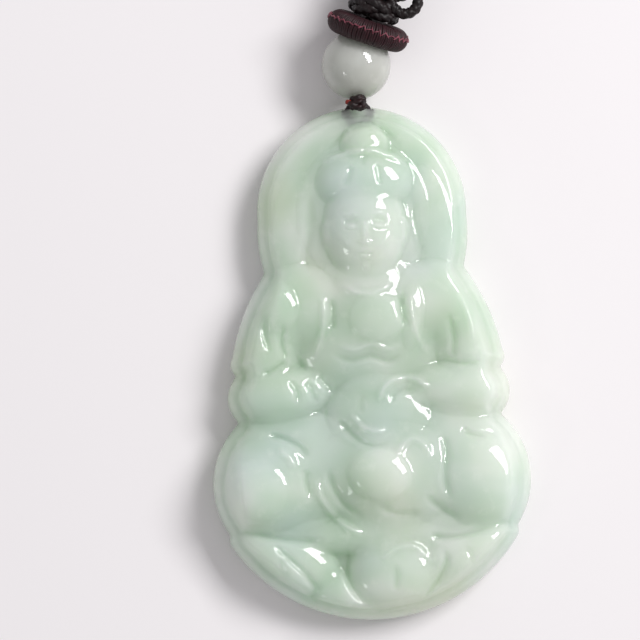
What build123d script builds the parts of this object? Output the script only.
from build123d import *
import math
import os

# Carved jade pendant on a knotted neck cord, lying flat on its back. All sizes in millimetres.
# +Z points out of the carved face, +Y towards the top of the carving, +X to a viewer's right.
# The origin is the centre of the carving's flat back.

# ---- carving: a seated, robed figure on a lotus seat, cut from one flat piece of stone ----
CARVING_TOP = 25.7          # from the back's centre to the top of the hood
CARVING_THICK = 8.0         # greatest thickness, at the head and the hands
EDGE_WALL = 4.3             # thickness of the stone at its rim
HOOD_WIDTH = 21.0           # across the hood, level with the head
HOOD_DEEP = 11.1            # from the top of the hood down to its widest place
NECK_HALF = 10.0            # from the middle to the pinch between hood and shoulders
SLEEVE_HALF = 13.55         # from the middle to the end of a sleeve
ARM_HALF = 14.15            # from the middle to the outside of a forearm
KNEE_HALF = 15.9            # from the middle to the outside of a knee
SEAT_HALF = 14.3            # from the middle to the corner of the lotus seat
SEAT_DEEP = 7.8             # from the corner of the lotus seat down to its lowest point

# ---- hanging hole and thread loop ----
THREAD_D = 0.55             # fine nylon thread
HOLE_CLEAR = 0.15           # between the thread and the wall of its hole, all round
LOOP_R = 1.15               # radius of the thread loop that goes through the stone
LOOP_OUT = 0.28             # how far the loop's centre line stands out past the stone
LOOP_Z = 3.5                # height of the loop and of the bead's centre above the back

# ---- bead ----
BEAD_D = 6.94
BEAD_GAP = 0.055            # between the thread loop and the bead
BORE_D = 1.5
STEM_D = 1.0                # doubled and twisted thread through the bead
BEAD_TURN = 8.0             # degrees that the bore leans to the right of +Y
BEAD_RISE = 4.0             # degrees that the bore climbs

# ---- wound ring ----
RING_D = 8.36
RING_THICK = 2.4
WINDING = 0.25              # thickness of the thread wound on the ring's core
RING_TURN = 21.0            # degrees that the ring's axis leans to the right of +Y
RUN_CLEAR = 0.05            # running clearance between bead, ring and knot
FLOOR_CLEAR = 0.03
STITCH_D = 0.30             # row of coloured stitches along the ring's upper shoulder
STITCH_ANGLE = 40.0         # degrees up from the ring's plane, seen from the tube's middle

# ---- knots ----
KNOT_WIDE = 1.7             # the small knot between carving and bead
KNOT_TALL = 1.5
KNOT_DEEP = 1.2
STUB_D = 0.5                # its cut and melted thread end
STUB_LEN = 0.55
WRAP_D = 5.66               # the gathering knot's wrapped collar
WRAP_CORD = 1.15            # cord that the collar and the loops are tied with
WRAP_TURNS = 2
EAR_R = 1.32                # side loop, centre line
CROWN_WIDE = 6.4            # the knot's crown, where the neck cords leave it
CROWN_TALL = 3.6
CROWN_DEEP = 4.4

# ---- neck cord ----
CORD_D = 2.0
COIL_SIDE = 5               # strands side by side in each of the coil's two layers
COIL_MEAN_R = 12.0
COIL_GAP = 3.0              # floor between the knot's crown and the coil, measured along +Y
TIE_THICK = 0.25            # thin thread wound side by side into a flat band
TIE_WIDE = 2.4
TIE_CLEAR = 0.12


def direction(turn, rise):
    """Unit vector that leans `turn` degrees to the right of +Y and climbs `rise` degrees."""
    flat = math.cos(math.radians(rise))
    along = math.radians(turn)
    return Vector(flat * math.sin(along), flat * math.cos(along), math.sin(math.radians(rise)))


# Places that several pieces share
loop_centre = Vector(0, CARVING_TOP + LOOP_OUT - LOOP_R, LOOP_Z)
pivot = Vector(0, CARVING_TOP + LOOP_OUT, LOOP_Z)
bead_r = BEAD_D / 2
bead_centre = pivot + Vector(0, THREAD_D / 2 + BEAD_GAP + bead_r, bead_r + FLOOR_CLEAR - LOOP_Z)
bore_axis = direction(BEAD_TURN, BEAD_RISE)
ring_r = RING_THICK / 2
ring_major = (RING_D - RING_THICK) / 2
ring_seat = math.sqrt((bead_r + ring_r + RUN_CLEAR) ** 2 - ring_major**2)


def ring_climb():
    """Angle at which the ring, seated on the bead, just clears the floor with its lower rim."""
    low, high = 0.0, 45.0
    for _ in range(60):
        middle = (low + high) / 2
        tilt = math.radians(middle)
        lowest = bead_centre.Z + ring_seat * math.sin(tilt) - ring_major * math.cos(tilt) - ring_r
        if lowest < FLOOR_CLEAR:
            low = middle
        else:
            high = middle
    return high


RING_RISE = ring_climb()
ring_axis = direction(RING_TURN, RING_RISE)
ring_centre = bead_centre + ring_axis * ring_seat
wrap_height = WRAP_TURNS * WRAP_CORD
wrap_base = ring_centre + ring_axis * (ring_r + RUN_CLEAR)
wrap_top = wrap_base + ring_axis * wrap_height


def ellipsoid(centre, radii):
    """Ellipsoid with its three half-axes along X, Y and Z."""
    return Pos(*centre) * scale(Sphere(1.0), by=radii)


def along(axis, centre):
    """Plane at centre whose normal is axis and whose X direction stays level."""
    return Plane(origin=centre, x_dir=Vector(0, 0, 1).cross(axis), z_dir=axis)


def tube(points, diameter):
    """Round tube of straight runs joined by arcs as large as the runs allow."""
    runs = [points[i + 1] - points[i] for i in range(len(points) - 1)]
    radii = []
    for before, after in zip(runs, runs[1:]):
        half = math.radians(before.get_angle(after) / 2)
        radii.append(0.45 * min(before.length, after.length) / math.tan(half))
    path = FilletPolyline(*points, radius=radii) if radii else Line(*points)
    section = Plane(origin=points[0], z_dir=runs[0]) * Circle(diameter / 2)
    solid = sweep(section, path=path)
    shape = ", ".join(f"{r:.1f}" for r in radii)
    ideal = math.pi * diameter**2 / 4 * path.length
    print(f"  tube d {diameter}: length {path.length:.1f}, radii {shape}, volume {solid.volume:.1f} of {ideal:.1f}")
    return solid


def carving_outline():
    """The rim: an arc over the hood, bulges mirrored on both sides, and an arc under the seat."""
    hood_end = (HOOD_WIDTH / 2, CARVING_TOP - HOOD_DEEP)
    seat_end = (SEAT_HALF, SEAT_DEEP - CARVING_TOP)
    pinch = (NECK_HALF, 9.3)
    sleeve = (SLEEVE_HALF, 0.9)
    cuff = (SLEEVE_HALF - 0.35, -0.9)
    elbow = (ARM_HALF - 1.05, -5.6)
    hem = (KNEE_HALF - 1.55, -16.8)
    side = [
        (hood_end, (hood_end[0], 12.0), pinch),
        (pinch, ((NECK_HALF + SLEEVE_HALF) / 2 + 0.5, 5.2), sleeve),
        (sleeve, (SLEEVE_HALF + 0.2, -0.1), cuff),
        (cuff, (ARM_HALF, -3.3), elbow),
        (elbow, (KNEE_HALF, -11.4), hem),
        (hem, ((hem[0] + seat_end[0]) / 2 + 0.175, (hem[1] + seat_end[1]) / 2 + 0.15), seat_end),
    ]
    arcs = []
    for flip in (-1, 1):
        arcs += [ThreePointArc(*[(flip * x, y) for x, y in arc]) for arc in side]
    for (x, y), tip in ((hood_end, CARVING_TOP), (seat_end, -CARVING_TOP)):
        arcs.append(ThreePointArc((-x, y), (0, tip), (x, y)))
    return make_face(arcs)


def swelling(x, y, reach, top):
    """Ball whose cap stands on the slab as a circle of radius `reach` and rises to `top`."""
    rise = top - EDGE_WALL
    radius = (reach**2 + rise**2) / (2 * rise)
    return Pos(x, y, top - radius) * Sphere(radius)


def carving_masses():
    """Head, body, arms, knees and petals as rounded swellings: x, y, reach and top."""
    head_top = CARVING_THICK - 0.1
    middle = [
        (0, 14.9, 8.6, EDGE_WALL + 1.5),      # hood
        (0, 14.6, 4.6, head_top - 0.4),       # hair and brow
        (0, 12.4, 4.4, head_top),             # face
        (0.3, 20.6, 3.2, EDGE_WALL + 2.6),    # hair knot
        (0.4, 3.4, 7.4, EDGE_WALL + 2.7),     # chest
        (0.8, -5.0, 4.0, head_top - 0.1),     # joined hands
        (1.6, -11.0, 5.4, head_top - 0.5),    # lap
        (1.4, -20.3, 4.6, EDGE_WALL + 2.5),   # front petal
    ]
    paired = [
        (SLEEVE_HALF - 5.35, 5.0, 4.0, EDGE_WALL + 2.2),     # shoulder
        (SLEEVE_HALF - 3.35, 0.8, 3.4, EDGE_WALL + 2.0),     # sleeve
        (ARM_HALF - 5.15, -3.2, 3.5, EDGE_WALL + 2.5),       # forearm
        (KNEE_HALF - 6.7, -11.2, 5.7, head_top - 0.4),       # knee
        (SEAT_HALF - 5.1, -19.0, 4.1, EDGE_WALL + 2.2),      # side petal
    ]
    masses = [swelling(*mass) for mass in middle]
    for side in (-1, 1):
        masses += [swelling(side * x, y, reach, top) for x, y, reach, top in paired]
    return masses


def carved_figure():
    """One stone: rim wall, rounded masses on it, and the curved hanging hole."""
    outline = carving_outline()
    rough = extrude(outline, EDGE_WALL)
    above = extrude(outline, CARVING_THICK)
    for mass in carving_masses():
        rough = rough + (mass & above)
    hole = Pos(*loop_centre) * Torus(LOOP_R, THREAD_D / 2 + HOLE_CLEAR)
    return rough - hole


def hanging_loop():
    return Pos(*loop_centre) * Torus(LOOP_R, THREAD_D / 2)


def loop_knot():
    """Small knot above the rim, with the thread that rises to it and its melted end."""
    rise = EDGE_WALL + KNOT_DEEP / 2 + 0.45
    body = ellipsoid((pivot.X, pivot.Y - 0.08, rise), (KNOT_WIDE / 2, KNOT_TALL / 2, KNOT_DEEP / 2))
    foot = LOOP_Z + THREAD_D / 2 + RUN_CLEAR
    riser = Pos(pivot.X, pivot.Y, (foot + rise) / 2) * Cylinder(THREAD_D / 2, rise - foot)
    stub_at = Vector(pivot.X - KNOT_WIDE / 2 - STUB_LEN / 4, pivot.Y + 0.05, rise)
    stub = along(Vector(1, 0, 0), stub_at) * Cylinder(STUB_D / 2, STUB_LEN)
    return body + riser + stub


def top_bead():
    """Polished round bead, drilled through."""
    ball = Pos(*bead_centre) * Sphere(bead_r)
    bore = along(bore_axis, bead_centre) * Cylinder(BORE_D / 2, 2 * BEAD_D)
    return ball - bore


def bead_thread():
    """Doubled thread from the small knot through the bead and the ring to the gathering knot."""
    start = bead_centre - bore_axis * (bead_r + 0.02)
    leave = bead_centre + bore_axis * (bead_r + 0.15)
    return tube([start, leave, wrap_base], STEM_D) - knot_collar()


def ring_core():
    return along(ring_axis, ring_centre) * Torus(ring_major, ring_r - WINDING)


def ring_winding():
    """Skin of thread wound round and round the core."""
    skin = Torus(ring_major, ring_r) - Torus(ring_major, ring_r - WINDING)
    return along(ring_axis, ring_centre) * skin


def ring_stitches():
    """Row of coloured stitches that lies on the winding's upper shoulder."""
    reach = ring_r + STITCH_D / 2
    lift = reach * math.sin(math.radians(STITCH_ANGLE))
    out = reach * math.cos(math.radians(STITCH_ANGLE))
    return along(ring_axis, ring_centre + ring_axis * lift) * Torus(ring_major + out, STITCH_D / 2)


def knot_collar():
    """Collar of cord wrapped round the bundle just above the ring."""
    wrap_r = WRAP_CORD / 2
    disc_r = WRAP_D / 2 - wrap_r
    collar = along(ring_axis, (wrap_base + wrap_top) * 0.5) * Cylinder(disc_r, wrap_height)
    for turn in range(WRAP_TURNS):
        middle = wrap_base + ring_axis * (wrap_r + turn * WRAP_CORD)
        collar = collar + along(ring_axis, middle) * Torus(disc_r, wrap_r)
    return collar


crown_centre = wrap_top + ring_axis * (CROWN_TALL / 2)
crown_top = crown_centre.Y + CROWN_TALL / 2


def knot_crown():
    """Interlaced crown of the knot; the neck cord leaves from its top."""
    crown = scale(Sphere(1.0), by=(CROWN_WIDE / 2, CROWN_DEEP / 2, CROWN_TALL / 2))
    return along(ring_axis, crown_centre) * crown - knot_collar()


ear_centre = Vector(crown_centre.X + CROWN_WIDE / 2 - EAR_R / 4, wrap_top.Y + 0.2, crown_centre.Z + 0.3)


def side_loop():
    """Loop of the tying cord that stands out to the right of the crown."""
    ring = Pos(*ear_centre) * Torus(EAR_R, WRAP_CORD / 2)
    return ring - knot_crown() - knot_collar()


coil_outer = COIL_MEAN_R + COIL_SIDE * CORD_D / 2
coil_inner = COIL_MEAN_R - COIL_SIDE * CORD_D / 2
coil_height = 2 * CORD_D
coil_base = TIE_THICK + TIE_CLEAR
coil_centre = Vector(crown_centre.X, crown_top + COIL_GAP + coil_outer, 0)


def neck_coil():
    """Outer shape of the stored neck cord: a flat coil of two layers."""
    block = Cylinder(coil_outer, coil_height) - Cylinder(coil_inner, coil_height)
    block = fillet(block.edges().filter_by(GeomType.CIRCLE), CORD_D * 0.4)
    return Pos(coil_centre.X, coil_centre.Y, coil_base + coil_height / 2) * block


# Route of each leg of the neck cord, from the crown to the coil, relative to the crown's top.
LEG_LEFT = [(-1.2, -1.3, 3.6), (-2.6, 1.6, 1.9), (-5.6, 4.2, 1.05), (-9.4, 6.8, 1.0)]
LEG_RIGHT = [(1.2, -1.3, 3.6), (2.6, 1.6, 2.2), (5.6, 4.2, 1.9), (9.4, 6.8, 2.6)]


def neck_leg(route):
    points = [Vector(crown_centre.X + x, crown_top + y, z) for x, y, z in route]
    return tube(points, CORD_D) - knot_crown() - neck_coil()


def coil_tie():
    """Thin thread tied round one side of the coil to hold its turns."""
    inner = Rectangle(coil_outer - coil_inner + 2 * TIE_CLEAR, coil_height + 2 * TIE_CLEAR)
    band = extrude(Plane.XZ * (offset(inner, TIE_THICK) - inner), TIE_WIDE / 2, both=True)
    middle = coil_base + coil_height / 2
    return Pos(coil_centre.X + COIL_MEAN_R, coil_centre.Y, middle) * band


NODES = {
    "carved_figure": carved_figure,
    "hanging_loop": hanging_loop,
    "loop_knot": loop_knot,
    "top_bead": top_bead,
    "bead_thread": bead_thread,
    "ring_core": ring_core,
    "ring_winding": ring_winding,
    "ring_stitches": ring_stitches,
    "knot_collar": knot_collar,
    "knot_crown": knot_crown,
    "side_loop": side_loop,
    "neck_cord_left": lambda: neck_leg(LEG_LEFT),
    "neck_cord_right": lambda: neck_leg(LEG_RIGHT),
    "neck_coil": neck_coil,
    "coil_tie": coil_tie,
}

os.makedirs("parts", exist_ok=True)
for name, build in NODES.items():
    piece = build()
    export_step(piece, f"parts/{name}.step")
    print(name, "volume", round(piece.volume, 2))
print("pivot", pivot, "bead", bead_centre, "bore axis", bore_axis)
print("ring", ring_centre, "axis", ring_axis, "rise", RING_RISE)
print("wrap", wrap_base, wrap_top, "crown", crown_centre, "ear", ear_centre, "coil", coil_centre)
